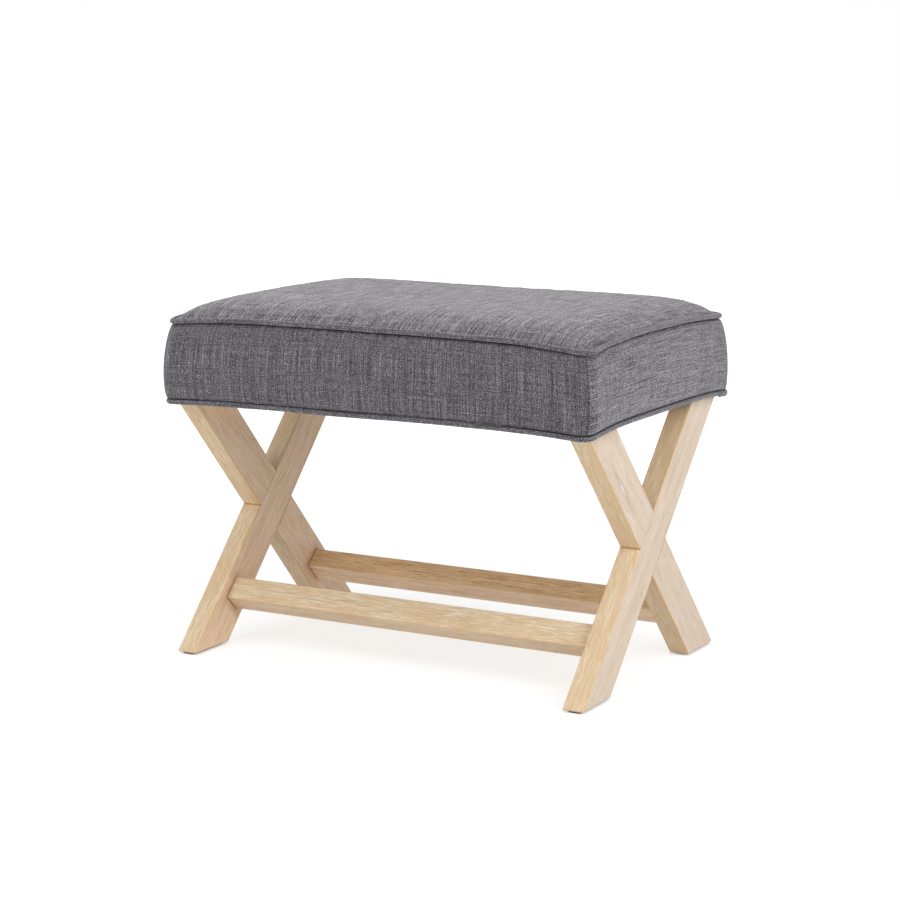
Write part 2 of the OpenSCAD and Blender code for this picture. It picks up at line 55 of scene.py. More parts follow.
# Places and sizes from the frame
SEAM_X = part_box("piping_top")[1].x - PIPING_R
SEAM_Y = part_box("piping_top")[1].y - PIPING_R
SEAM_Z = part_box("piping_top")[1].z - 2 * PIPING_R
CROWN_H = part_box("cover_top")[1].z - SEAM_Z
SEAT_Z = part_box("seat_rail_front")[0].z
HEM_Z = SEAT_Z - HEM_DROP
HEM_PIPING_Z = HEM_Z - 0.3 * MM - PIPING_R
DECK_TOP_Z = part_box("deck_panel")[1].z
SHOULDER_Z = (DECK_TOP_Z + SEAM_Z) / 2
SEAT_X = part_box("deck_panel")[1].x
SEAT_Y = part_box("deck_panel")[1].y
LEG_X = (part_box("leg_right_a")[0].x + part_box("leg_right_a")[1].x) / 2
LEG_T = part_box("leg_right_a")[1].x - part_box("leg_right_a")[0].x
FRAME_LOW, FRAME_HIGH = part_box("leg_right_a")
CROSS_Z = (FRAME_LOW.z + FRAME_HIGH.z) / 2
FRAME_DEPTH = -2 * FRAME_LOW.y
FRAME_H = FRAME_HIGH.z - FRAME_LOW.z
STRETCHER_LOW, STRETCHER_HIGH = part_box("stretcher_front")
STRETCHER_MIDDLE = (STRETCHER_LOW + STRETCHER_HIGH) / 2
STRETCHER_DROP = math.hypot(STRETCHER_MIDDLE.y, STRETCHER_MIDDLE.z - CROSS_Z)

# Shape of the cushion, as in the CAD model
SEAM_R = 20 * MM
CORNER_DIP = 10 * MM
HEM_R = 12 * MM
HEM_SAG = 4 * MM
HEM_LIFT = 1.9 * MM
HEM_Y_POWER = 4
BAND_FLARE = 5 * MM
BAND_SWELL = 6.2 * MM
FABRIC_T = 1.2 * MM
CROWN_X_POWER = 9.6
CROWN_Y_POWER = 6.7
CROWN_EDGE_POWER = 0.8
CROWN_CORNER_POWER = 3
RIM_RISE = 4.2 * MM
DIP_X_POWER = 4.5
DIP_Y_POWER = 2.6
SWELL_POWER = 2.6
RIM_INSET = PIPING_R + 0.3 * MM

# Seat frame's corner, legs and stretchers
SEAT_R = 8 * MM
LEG_W = 57 * MM
SLANT = math.atan2(FRAME_H, FRAME_DEPTH) + math.asin(LEG_W / math.hypot(FRAME_H, FRAME_DEPTH))
STRETCHER_H = 32.5 * MM
STRETCHER_T = 29 * MM

# Layers inside the cover
FOAM_INSET = 7.8 * MM
WADDING_T = 6 * MM
SOFT_GAP = 0.3 * MM

# Camera, solved from the photo's perspective
CAMERA_AZIMUTH = math.radians(28.986)
CAMERA_ELEVATION = math.radians(10.0558)
CAMERA_ROLL = math.radians(0.131)
CAMERA_PLACE = (1.5125, -2.7242, 0.8176)
CAMERA_LENS = 97.46

# Light: the floor's glow to the camera near the object, how much it rises far from it, and the world's
FLOOR_GLOW = 0.72
FLOOR_RISE = 0.3
SKY = 0.60

# Cloth: how firmly the foam holds it in place, and how much longer it is than its rest shape
FOAM_HOLD = 0.25
CLOTH_SLACK = 0.006

# Cushion's back right corner: which way it stands out, how far at the hem and at the top seam, and the
# lumps where the hem's piping ends meet
BACK_CORNER = (0.87, 0.49)
CORNER_OUT_HEM = 2.8 * MM
CORNER_OUT_TOP = 2.0 * MM
KNOT_H = 2.0 * MM
KNOT_W = 3.6 * MM
KNOT_STEP = 16 * MM

# Yarns of the linen: their pitch, and how wide, how long and how strong their streaks are
YARN_PITCH = 0.75 * MM
YARNS = (
    (1.0 * MM, 45 * MM, 0.9),
    (2.6 * MM, 110 * MM, 0.45),
    (0.9 * MM, 6 * MM, 0.8),
    (0.8 * MM, 1.2 * MM, 2.1),
)

# Colours of oak faces, from dark grain to pale
OAK = {
    "pale": ((0.50, 0.38, 0.28), (0.69, 0.56, 0.44), (0.82, 0.72, 0.61)),
    "honey": ((0.50, 0.34, 0.19), (0.67, 0.495, 0.30), (0.80, 0.67, 0.48)),
    "pink": ((0.46, 0.32, 0.19), (0.71, 0.53, 0.36), (0.82, 0.68, 0.51)),
    # The next two colour sets are for faces that lie in the seat's shade: the first is much brighter and
    # both are warmer than the oak's own colour, as painted warm bounce light.
    "brown_painted_bounce": ((0.62, 0.38, 0.22), (0.90, 0.64, 0.43), (0.97, 0.84, 0.67)),
    "raw": ((0.42, 0.25, 0.11), (0.74, 0.48, 0.25), (0.90, 0.68, 0.43)),
}

# Colours, contrast and lime of the legs' wide and narrow faces
LEG_FACES = {
    # The left legs' wide faces that show lie in the seat's shade, and their colours are painted warm bounce
    # light.
    "left": (("brown_painted_bounce", 0.9, 0.4), ("honey", 0.8, 0.5)),
    "right": (("pale", 0.65, 0.3), ("honey", 0.55, 0.5)),
}

# Grain of the oak: how wide, how long and how strong its streaks are
GRAIN = (
    (12 * MM, 90 * MM, 0.6),
    (2.0 * MM, 60 * MM, 0.8),
    (1.0 * MM, 16 * MM, 1.0),
    (0.7 * MM, 3.0 * MM, 0.5),
)

# Streak in the oak of one leg: its half width and half length, and its place across and along the leg
STREAK_W = 2.3 * MM
STREAK_L = 21 * MM
STREAK_PLACE = (-10.5 * MM, 127 * MM)

# Staples: the step between two of the cover's, and their places from an edge
STAPLE_STEP = 34 * MM
STAPLE_INSET = 6 * MM

# Cover's mesh: its cells along the front, along an end, up the band and in the hem, and their crowding
FRONT_CELLS = 90
END_CELLS = 62
BAND_CELLS = 16
HEM_RINGS = 4
EDGE_CROWDING = 0.4
SEAM_LIP = 0.9 * MM
RING = 2 * (FRONT_CELLS + END_CELLS)
SEAMS = [0, FRONT_CELLS, FRONT_CELLS + END_CELLS, 2 * FRONT_CELLS + END_CELLS]

# Cover: how deep the corner seams lie, how far the cloth tucks in at the piping, the hollow in the top,
# and how far the hem's piping stands out
SEAM_GROOVE = 0.9 * MM
SEAM_TUCK = 2.6 * MM
HOLLOW = 1.4 * MM
HEM_PIPING_OUT = BAND_FLARE - 2 * MM


# Camera: where it stands, which way it looks, and its lens
def direction(azimuth, elevation):
    """Towards an azimuth from the front to the right, and an elevation."""
    return Vector((math.sin(azimuth) * math.cos(elevation),
                   -math.cos(azimuth) * math.cos(elevation), math.sin(elevation)))


def make_camera():
    back = direction(CAMERA_AZIMUTH, CAMERA_ELEVATION)
    right = Vector((math.cos(CAMERA_AZIMUTH), math.sin(CAMERA_AZIMUTH), 0))
    level = Matrix((right, back.cross(right), back)).transposed()
    turn = level @ Matrix.Rotation(CAMERA_ROLL, 3, "Z")
    camera = bpy.data.objects.new("camera", bpy.data.cameras.new("camera"))
    bpy.context.scene.collection.objects.link(camera)
    camera.data.sensor_width = 36
    camera.data.lens = CAMERA_LENS
    camera.matrix_world = Matrix.Translation(CAMERA_PLACE) @ turn.to_4x4()
    bpy.context.scene.camera = camera


# Node helpers
class Tree:
    """A node tree whose nodes are written as expressions."""

    def __init__(self, tree):
        self.tree = tree

    def add(self, kind, settings=None, inputs=None):
        node = self.tree.nodes.new(kind)
        for name, value in (settings or {}).items():
            setattr(node, name, value)
        for name, value in (inputs or {}).items():
            self.put(node.inputs[name], value)
        return node

    def put(self, socket, value):
        if isinstance(value, bpy.types.NodeSocket):
            self.tree.links.new(value, socket)
        else:
            socket.default_value = value

    def math(self, operation, *values):
        return self.add("ShaderNodeMath", {"operation": operation}, dict(enumerate(values))).outputs[0]

    def times(self, a, b):
        return self.math("MULTIPLY", a, b)

    def minus(self, a, b):
        return self.math("SUBTRACT", a, b)

    def scaled(self, value, factor, shift):
        return self.math("MULTIPLY_ADD", value, factor, shift)

    def clamped(self, value, low, high):
        """0 at low, 1 at high, and smooth between."""
        return self.add("ShaderNodeMapRange", {"interpolation_type": "SMOOTHSTEP"},
                        {"Value": value, "From Min": low, "From Max": high}).outputs["Result"]

    def place(self):
        """A point's place in its object's axes."""
        return self.add("ShaderNodeTexCoord").outputs["Object"]

    def attribute(self, name, output):
        return self.add("ShaderNodeAttribute", {"attribute_name": name}).outputs[output]

    def first(self, kind, inputs):
        """First output of a new node."""
        return self.add(kind, None, inputs).outputs[0]

    def absolute(self, value):
        return self.math("ABSOLUTE", value)

    def vector(self, operation, *values):
        return self.add("ShaderNodeVectorMath", {"operation": operation}, dict(enumerate(values))).outputs[0]

    def length(self, vector):
        return self.add("ShaderNodeVectorMath", {"operation": "LENGTH"}, {0: vector}).outputs[1]

    def split(self, vector):
        return self.add("ShaderNodeSeparateXYZ", None, {0: vector}).outputs

    def joined(self, x, y):
        return self.first("ShaderNodeCombineXYZ", {0: x, 1: y})

    def stretched(self, vector, sizes):
        """The vector counted in features of these sizes."""
        return self.vector("MULTIPLY", vector, [1 / s for s in sizes])

    def noise(self, vector, detail=2.0, roughness=0.5):
        inputs = {"Vector": vector, "Scale": 1.0, "Detail": detail, "Roughness": roughness}
        return self.add("ShaderNodeTexNoise", {"noise_dimensions": "3D"}, inputs).outputs["Fac"]

    def swing(self, vector, amount, detail=2.0):
        """Noise about zero, that mostly stays within the amount."""
        return self.times(self.minus(self.noise(vector, detail), 0.5), 2 * amount)

    def mix(self, share, a, b):
        return self.add("ShaderNodeMix", {"data_type": "RGBA"}, {0: share, 6: a, 7: b}).outputs[2]

    def ramp(self, value, stops):
        """Colours at places along a value."""
        node = self.add("ShaderNodeValToRGB", None, {"Fac": value})
        ramp = node.color_ramp
        while len(ramp.elements) < len(stops):
            ramp.elements.new(0.5)
        for element, (place, colour) in zip(ramp.elements, stops):
            element.position = place
            element.color = (*colour, 1.0)
        return node.outputs["Color"]


class Nodes(Tree):
    """The nodes of a new material."""

    def __init__(self, name):
        self.material = bpy.data.materials.new(name)
        self.material.use_nodes = True
        super().__init__(self.material.node_tree)
        self.shader = self.tree.nodes["Principled BSDF"]

    def bump(self, height, distance, strength=1.0):
        inputs = {"Height": height, "Distance": distance, "Strength": strength}
        self.put(self.shader.inputs["Normal"], self.first("ShaderNodeBump", inputs))

    def finish(self, colour, roughness, **more):
        self.put(self.shader.inputs["Base Color"], colour)
        self.put(self.shader.inputs["Roughness"], roughness)
        for name, value in more.items():
            self.put(self.shader.inputs[name.replace("_", " ")], value)
        return self.material


# Stage
def floor_material():
    """White floor that takes the object's shadow and that all other rays see as white."""
    n = Nodes("floor")
    path = n.add("ShaderNodeLightPath").outputs
    level = n.scaled(n.clamped(n.length(n.place()), 0.5, 1.6), FLOOR_RISE, FLOOR_GLOW)
    # Painted contact shade: the floor's glow to the camera dims where other surfaces lie within 5 mm.
    near = n.add("ShaderNodeAmbientOcclusion", None, {"Distance": 5 * MM}).outputs["AO"]
    level = n.times(level, n.scaled(near, 0.5, 0.5))
    glow = n.first("ShaderNodeEmission", {"Color": (1, 0.955, 0.905, 1), "Strength": level})
    shadow = n.first("ShaderNodeBsdfDiffuse", {"Color": (0.40, 0.45, 0.51, 1)})
    seen = n.first("ShaderNodeAddShader", {0: glow, 1: shadow})
    bounce = n.first("ShaderNodeBsdfDiffuse", {"Color": (0.86, 0.86, 0.86, 1)})
    white = n.first("ShaderNodeEmission", {"Color": (1, 1, 1, 1), "Strength": 1.0})
    straight = n.math("MAXIMUM", path["Is Glossy Ray"], path["Is Transmission Ray"])
    hidden = n.first("ShaderNodeMixShader", {0: straight, 1: bounce, 2: white})
    out = n.first("ShaderNodeMixShader", {0: path["Is Camera Ray"], 1: hidden, 2: seen})
    n.put(n.tree.nodes["Material Output"].inputs["Surface"], out)
    return n.material


def make_floor():
    reach = 8.0
    corners = [(-reach, -reach, 0), (reach, -reach, 0), (reach, reach, 0), (-reach, reach, 0)]
    floor = mesh_object("floor", corners, [(0, 1, 2, 3)])
    floor.data.materials.append(floor_material())


def make_world():
    """World that is white to the camera and in reflections, and dimmer as light on the object."""
    world = bpy.data.worlds.new("studio")
    bpy.context.scene.world = world
    world.use_nodes = True
    n = Tree(world.node_tree)
    path = n.add("ShaderNodeLightPath").outputs
    straight = n.math("MAXIMUM", path["Is Glossy Ray"], path["Is Transmission Ray"])
    seen = n.math("MAXIMUM", path["Is Camera Ray"], straight)
    background = n.tree.nodes["Background"]
    n.put(background.inputs["Strength"], n.scaled(seen, 1 - SKY, SKY))
    n.put(background.inputs["Color"], (1, 1, 1, 1))


def area_light(name, azimuth, elevation, distance, size, watts, colour):
    """Square lamp that looks at the frames' middle, its angles in degrees."""
    away = direction(math.radians(azimuth), math.radians(elevation))
    lamp = bpy.data.lights.new(name, "AREA")
    lamp.size = size
    lamp.energy = watts
    lamp.color = colour
    obj = bpy.data.objects.new(name, lamp)
    bpy.context.scene.collection.objects.link(obj)
    obj.location = Vector((0, 0, CROSS_Z)) + away * distance
    obj.rotation_mode = "QUATERNION"
    obj.rotation_quaternion = (-away).to_track_quat("-Z", "Y")


def make_lights():
    area_light("key", 72, 33, 3.0, 2.4, 41, (1.0, 0.99, 0.98))
    area_light("front", -19, 18, 3.2, 2.4, 33.5, (1.0, 0.97, 0.94))
    area_light("top", 0, 85, 3.0, 2.4, 8, (1.0, 1.0, 1.0))


# Meshes
def mesh_object(name, points, faces):
    mesh = bpy.data.meshes.new(name)
    mesh.from_pydata([tuple(p) for p in points], [], [tuple(f) for f in faces])
    mesh.polygons.foreach_set("use_smooth", [True] * len(mesh.polygons))
    obj = bpy.data.objects.new(name, mesh)
    bpy.context.scene.collection.objects.link(obj)
    return obj


def dip(x, y):
    """How far the top seam sinks towards the corners, at the right more in front than at the back."""
    low = CORNER_DIP * (1 - np.maximum(0, x / SEAM_X) * (0.05 + 0.18 * y / SEAM_Y))
    return (low * np.minimum(1, np.abs(x) / SEAM_X) ** DIP_X_POWER
            * np.minimum(1, np.abs(y) / SEAM_Y) ** DIP_Y_POWER)


def crown(x, y, inset=0.0):
    """Height of a layer's crown over the top seam."""
    s = np.minimum(1, np.abs(x) / (SEAM_X - inset)) ** CROWN_X_POWER
    t = np.minimum(1, np.abs(y) / (SEAM_Y - inset)) ** CROWN_Y_POWER
    fall = (s ** CROWN_CORNER_POWER + t ** CROWN_CORNER_POWER) ** (1 / CROWN_CORNER_POWER)
    return (CROWN_H - inset) * np.maximum(0, 1 - fall) ** CROWN_EDGE_POWER


def band_out(share):
    """How far the band stands out of the top seam, at a share of its height."""
    swell = (1 - np.abs(2 * share - 1) ** SWELL_POWER) ** CROWN_EDGE_POWER
    return BAND_FLARE * (1 - share) + BAND_SWELL * swell


def graded(t):
    """Shares from 0 to 1, crowded towards both ends."""
    return t - EDGE_CROWDING * np.sin(2 * np.pi * t) / (2 * np.pi)


def edge(x, y, r, cells, count):
    """The first points of a front edge, which runs from the middle of one corner to the next corner's."""
    arc = math.pi * r / 4
    straight = 2 * (x - r)
    inner = graded((np.arange(count) - 1) / (cells - 2)) * (straight + 2 * arc - 2 * SEAM_LIP) + SEAM_LIP
    along = np.clip(inner, 0, straight + 2 * arc)
    along[0] = 0
    along[cells:] = straight + 2 * arc
    corner = np.clip(along / arc, 0, 1) + np.clip((along - arc - straight) / arc, 0, 1)
    angle = np.radians(225) + corner * np.pi / 4
    middle = r - x + np.clip(along - arc, 0, straight)
    return np.stack([middle + r * np.cos(angle), r - y + r * np.sin(angle)], 1)


def turned(points):
    return np.stack([-points[:, 1], points[:, 0]], 1)


def outline(x, y, r, front_cells=FRONT_CELLS, end_cells=END_CELLS):
    """Rounded outline of these half sizes, counter-clockwise from the middle of the front left corner."""
    front = edge(x, y, r, front_cells, front_cells)
    right = turned(edge(y, x, r, end_cells, end_cells))
    return np.concatenate([front, right, -front, -right])


def ring(out, share=1.0):
    """The cover's outline at a reach beyond the top seam, at a share of the band's height."""
    corner = HEM_R + (SEAM_R - HEM_R) * max(0, 2 * share - 1) ** 1.2
    return outline(SEAM_X + out, SEAM_Y + out, corner + out)


def hem_lift(plan):
    """How far the hem stands over its level: it sags at the corners and is drawn up at the ends."""
    x, y = plan[:, 0] / SEAM_X, plan[:, 1] / SEAM_Y
    sag = HEM_SAG * np.abs(x) ** DIP_X_POWER * np.abs(y) ** HEM_Y_POWER
    sag *= (1.05 - 0.35 * y) * (0.87 + 0.13 * x)
    ends = HEM_LIFT * np.maximum(0, 1 - y ** 4) * np.abs(x) ** 12
    front = HEM_LIFT / 2 * (np.tanh(6 * x - 0.4) - 0.8) * np.clip(-y, 0, 1) ** 4
    return HEM_LIFT / 2 + ends + front - sag


def corner_push(plan, share):
    """How far the back right corner stands out, more at its seams than between them."""
    x, y = np.clip(plan / (SEAM_X, SEAM_Y), 0, 1).T
    amount = CORNER_OUT_HEM * math.exp(-share / 0.14) + CORNER_OUT_TOP * math.exp((share - 1) / 0.25)
    return amount * (x ** 20 * y ** 12)[:, None] * BACK_CORNER


def tuck(share):
    """How far the band draws in at the seams, at a share of its height."""
    from_seam = min(share, 1 - share) * (SEAM_Z - HEM_Z)
    return SEAM_TUCK * math.exp(-from_seam / MM)


def lifted(points, z):
    return np.column_stack([points, np.broadcast_to(z, len(points))])


def ring_quads(low, high, count=RING):
    """Faces between two rings of points, the higher ring's first point given as high."""
    i = np.arange(count)
    j = (i + 1) % count
    return np.stack([low + i, low + j, high + j, high + i], 1)


def grid_quads(index):
    """Faces between the points of a grid, whose numbers are given."""
    return np.stack([index[:-1, :-1], index[1:, :-1], index[1:, 1:], index[:-1, 1:]], -1).reshape(-1, 4)


# Cover
def plan_grid(x, y, r):
    """Grid of points whose rim is a rounded outline of these half sizes, as [across, back, xy]."""
    front = edge(x, y, r, FRONT_CELLS, FRONT_CELLS + 1)
    right = turned(edge(y, x, r, END_CELLS, END_CELLS + 1))
    back, left = -front[::-1], -right[::-1]
    u = ((front[:, 0] - front[0, 0]) / (front[-1, 0] - front[0, 0]))[:, None, None]
    v = ((right[:, 1] - right[0, 1]) / (right[-1, 1] - right[0, 1]))[None, :, None]
    sides = (1 - v) * front[:, None] + v * back[:, None] + (1 - u) * left[None] + u * right[None]
    corners = ((1 - u) * (1 - v) * front[0] + u * (1 - v) * front[-1]
               + (1 - u) * v * back[0] + u * v * back[-1])
    return sides - corners


def crown_z(plan, inset):
    """Heights of a layer that lies inset below the top panel, with a slight hollow behind its middle."""
    x, y = plan[..., 0], plan[..., 1]
    hollow = HOLLOW * np.exp(-(x / (0.43 * SEAM_X)) ** 2 - ((y - 0.55 * SEAM_Y) / (0.55 * SEAM_Y)) ** 2)
    rise = np.cbrt(crown(x, y, inset) ** 3 + max(0, RIM_RISE - inset) ** 3)
    return SEAM_Z - dip(x, y) + rise - hollow


def capped(rows, grid, heights):
    """Points and faces of rings that are closed by a grid, whose rim is one more ring over the last."""
    i, j = np.arange(FRONT_CELLS + 1), np.arange(1, END_CELLS + 1)
    inner = np.arange((FRONT_CELLS - 1) * (END_CELLS - 1)).reshape(FRONT_CELLS - 1, END_CELLS - 1)
    index = np.zeros(grid.shape[:2], int)
    index[1:-1, 1:-1] = RING + inner
    index[:, 0] = i
    index[-1, 1:] = FRONT_CELLS + j
    index[:, -1] = RING - END_CELLS - i
    index[0, 1:] = RING - j
    index += len(rows) * RING
    points = np.concatenate([*rows, np.zeros((RING + inner.size, 3))])
    points[index] = np.dstack([grid, heights])
    sides = [ring_quads(k * RING, (k + 1) * RING) for k in range(len(rows))]
    return points, np.concatenate([*sides, grid_quads(index)])


def cover_points():
    """Points of the rings from the turned-in hem, up the band, to the top panel's rim."""
    shares = (1 - np.cos(np.pi * np.arange(BAND_CELLS + 1) / BAND_CELLS)) / 2
    rows = []
    for out, z in ((-RIM_INSET, 0), (-1.5 * MM, 0), (HEM_PIPING_OUT - MM, -0.3 * MM),
                   (BAND_FLARE - 2.3 * MM, 0.1 * MM)):
        plan = ring(out, 0)
        plan += corner_push(plan, 0)
        rows.append(lifted(plan, HEM_Z + z + hem_lift(plan)))
    for share in shares:
        plan = ring(band_out(share) - tuck(share), share)
        plan += corner_push(plan, share)
        plan[SEAMS] *= 1 - SEAM_GROOVE * min(1, 8 * share, 8 * (1 - share)) / np.linalg.norm(
            plan[SEAMS], axis=1, keepdims=True)
        top = SEAM_Z - 0.3 * MM - dip(plan[:, 0], plan[:, 1])
        hem = HEM_Z + 0.3 * MM + hem_lift(plan)
        rows.append(lifted(plan, hem + share * (top - hem)))
    under = ring(-RIM_INSET + 0.1 * MM)
    rows.append(lifted(under, SEAM_Z + 0.2 * MM - dip(under[:, 0], under[:, 1])))
    return rows


def make_cover():
    rows = cover_points()
    grid = plan_grid(*crown_sizes(0))
    points, faces = capped(rows, grid, crown_z(grid, 0))
    seams = [*range((HEM_RINGS + 1) * RING), *range((len(rows) - 2) * RING, (len(rows) + 1) * RING)]
    return mesh_object("cushion_cover", points, faces), len(rows), seams


def paint_seam_shade(cover, band_rows):
    """Stores how near each point lies to a seam, where the cloth turns in and catches little light, for the
    material's painted shade there.
    """
    points = coordinates(cover.data)
    near = np.zeros(len(points))
    top = (band_rows - 2) * RING
    heights = points[:top + RING].reshape(-1, RING, 3)[:, :, 2]
    from_seam = np.minimum(heights - heights[HEM_RINGS], heights[-1] - heights)
    near[:top + RING] = np.exp(-(np.maximum(0, from_seam) / (1.2 * MM)) ** 2).ravel()
    # Painted shade down the corner seams, and fainter painted shade round the top panel's rim.
    for seam in SEAMS:
        line = slice((HEM_RINGS + 1) * RING + seam, top, RING)
        near[line] = np.maximum(near[line], 0.7)
    near[top + RING:(band_rows + 1) * RING] = 0.4
    store(cover, "seam", "POINT", near)


def coordinates(mesh):
    flat = np.zeros(len(mesh.vertices) * 3, np.float32)
    mesh.vertices.foreach_get("co", flat)
    return flat.reshape(-1, 3).astype(float)


def store(obj, name, domain, values):
    """Stores numbers or vectors at an object's points or its faces' corners, for its material."""
    kind, key = ("FLOAT", "value") if values.ndim == 1 else ("FLOAT_VECTOR", "vector")
    attribute = obj.data.attributes.new(name, kind, domain)
    attribute.data.foreach_set(key, values.astype(np.float32).ravel())


def thicken(obj, thickness):
    """Gives a surface its thickness, inwards."""
    obj.modifiers.new("thickness", "SOLIDIFY").thickness = thickness


def settle_cover(cover, seams, cap):
    """Lets the cover settle as slightly slack cloth over the foam, no point moving more than the cap."""
    rest = coordinates(cover.data)
    group = cover.vertex_groups.new(name="held")
    group.add(range(len(rest)), FOAM_HOLD, "REPLACE")
    group.add(seams, 1.0, "REPLACE")
    cloth = cover.modifiers.new("cloth", "CLOTH")
    s = cloth.settings
    s.quality = 6
    s.mass = 0.02
    s.tension_stiffness = 15
    s.compression_stiffness = 15
    s.shear_stiffness = 5
    s.bending_stiffness = 0.2
    s.vertex_group_mass = "held"
    s.use_pressure = True
    s.uniform_pressure_force = 4
    s.shrink_min = -CLOTH_SLACK
    s.effector_weights.gravity = 0
    for number in range(1, 21):
        bpy.context.scene.frame_set(number)
    settled = cover.evaluated_get(bpy.context.evaluated_depsgraph_get()).to_mesh()
    moved = coordinates(settled) - rest
    cover.modifiers.remove(cloth)
    bpy.context.scene.frame_set(1)
    length = np.linalg.norm(moved, axis=1, keepdims=True)
    points = rest + moved * np.minimum(1, cap / np.maximum(length, 1e-9))
    cover.data.vertices.foreach_set("co", points.astype(np.float32).ravel())
    cover.data.update()


def running(points):
    """Length along a line of points, from its first."""
    return np.concatenate([[0], np.cumsum(np.linalg.norm(np.diff(points, axis=0), axis=1))])


def crown_length(values, half, profile):
    """Lengths of cloth over a crown's profile, from its middle to these places, with their signs."""
    places = np.linspace(0, half, 400)
    lengths = running(np.column_stack([places, profile(places)]))
    return np.copysign(np.interp(np.abs(values), places, lengths), values)


def lay_weave(cover, band_rows):
    """Stores where each face's corners lie in their panel's weave, and gives each panel its material."""
    points = coordinates(cover.data)
    corners = np.zeros(len(cover.data.loops), np.int32)
    cover.data.loops.foreach_get("vertex_index", corners)
    face = np.arange(len(corners)) // 4
    is_band = face < band_rows * RING
    side = np.searchsorted(SEAMS, face % RING, side="right") - 1
    place = np.where((corners % RING == 0) & (side == 3), RING, corners % RING)
    around = ring(BAND_SWELL)
    across = running(np.concatenate([around, around[:1]]))[place]
    up = running(points[0:(band_rows + 1) * RING:RING])[np.minimum(corners // RING, band_rows)]
    on_end = side % 2 == 1
    band = np.stack([np.where(on_end, up, across), np.where(on_end, across, up), 0.1 * side], 1)
    top = np.stack([crown_length(points[:, 0], SEAM_X, lambda x: crown(x, 0 * x)),
                    crown_length(points[:, 1], SEAM_Y, lambda y: crown(0 * y, y)),
                    np.zeros(len(points))], 1)
    store(cover, "weave", "CORNER", np.where(is_band[:, None], band, top[corners]))
    cover.data.polygons.foreach_set("material_index", np.where(is_band, 1 + on_end, 0)[::4].tolist())


# Layers inside the cover
def crown_sizes(inset):
    """Half sizes and corner radius of the top of a layer that lies inset below the cover."""
    return SEAM_X - inset - RIM_INSET, SEAM_Y - inset - RIM_INSET, SEAM_R - RIM_INSET


def make_foam():
    """Foam block with rounded edges and a crowned top, on the deck."""
    ease = 1.6 * MM
    foot = ((ease, DECK_TOP_Z), (0.4 * MM, DECK_TOP_Z + 0.6 * MM), (0, DECK_TOP_Z + 2 * MM), (0, SHOULDER_Z))
    rows = [lifted(outline(SEAT_X - cut, SEAT_Y - cut, SEAT_R - cut), z) for cut, z in foot]
    rim = outline(*crown_sizes(FOAM_INSET))
    rim = lifted(rim, crown_z(rim, FOAM_INSET))
    for share in (0.3, 0.6, 0.85):
        rows.append(rows[3] + (rim - rows[3]) * (share ** 1.6, share ** 1.6, share))
    grid = plan_grid(*crown_sizes(FOAM_INSET))
    points, faces = capped(rows, grid, crown_z(grid, FOAM_INSET))
    under = plan_grid(SEAT_X - ease, SEAT_Y - ease, SEAT_R - ease)
    below, below_faces = capped([], under, np.full(under.shape[:2], DECK_TOP_Z))
    foam = mesh_object("foam_block", np.concatenate([points, below]),
                       np.concatenate([faces, below_faces[:, ::-1] + len(points)]))
    weld(foam)
    foam.data.materials.append(soft_fill("foam", (0.80, 0.72, 0.46), (0.90, 0.84, 0.62), 1.2 * MM))
    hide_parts("foam_pad")
    return foam


def weld(obj):
    """Joins points that lie in one place."""
    mesh = bmesh.new()
    mesh.from_mesh(obj.data)
    bmesh.ops.remove_doubles(mesh, verts=mesh.verts, dist=0.01 * MM)
    mesh.to_mesh(obj.data)
    mesh.free()


def top_wadding(inset):
    """Layer of wadding over the foam."""
    grid = plan_grid(*crown_sizes(inset))
    random = np.random.default_rng(5)
    heights = crown_z(grid, inset) - random.uniform(0, 0.4 * MM, grid.shape[:2])
    top = mesh_object("wadding_top", *capped([], grid, heights))
    thicken(top, WADDING_T - 1 * MM)
    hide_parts("top_wadding")
    return top


def side_wadding(inset):
    """Layer of wadding round the sides, from the rails up to the top seam."""
    high = SEAM_Z - 2 * SOFT_GAP
    rows = []
    for share in np.linspace(0, 1, 9):
        plan = ring(band_out(share) - tuck(share) - inset, share)
        low = SEAT_Z + np.maximum(0, hem_lift(plan))
        rows.append(lifted(plan, low + share * (high - dip(plan[:, 0], plan[:, 1]) - low)))
    neck = outline(*crown_sizes(FOAM_INSET - 2 * SOFT_GAP))
    rows.append(lifted(neck, high - dip(neck[:, 0], neck[:, 1])))
    inside = outline(SEAT_X + SOFT_GAP, SEAT_Y + SOFT_GAP, SEAT_R + SOFT_GAP)
    rows += [lifted(inside, z) for z in (SHOULDER_Z, DECK_TOP_Z, SEAT_Z)]
    count = len(rows)
    faces = np.concatenate([ring_quads(k * RING, (k + 1) % count * RING) for k in range(count)])
    side = mesh_object("wadding_sides", np.concatenate(rows), faces)
    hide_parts("side_wadding")
    return side


def make_wadding():
    fibre = soft_fill("wadding", (0.78, 0.78, 0.77), (0.92, 0.92, 0.91), 2.5 * MM)
    layers = [top_wadding(FABRIC_T + SOFT_GAP), side_wadding(FABRIC_T + SOFT_GAP)]
    for layer in layers:
        layer.data.materials.append(fibre)
    return layers


# Underside
def ruffle(a, seed, amount, length):
    """Smooth random waves along a line, the same each time."""
    random = np.random.default_rng(seed)
    total = 0
    for k in range(1, 7):
        total = total + random.normal() * np.sin(2 * np.pi * k * a / length + random.uniform(0, 6.28)) / k
    return amount * total / 2.5


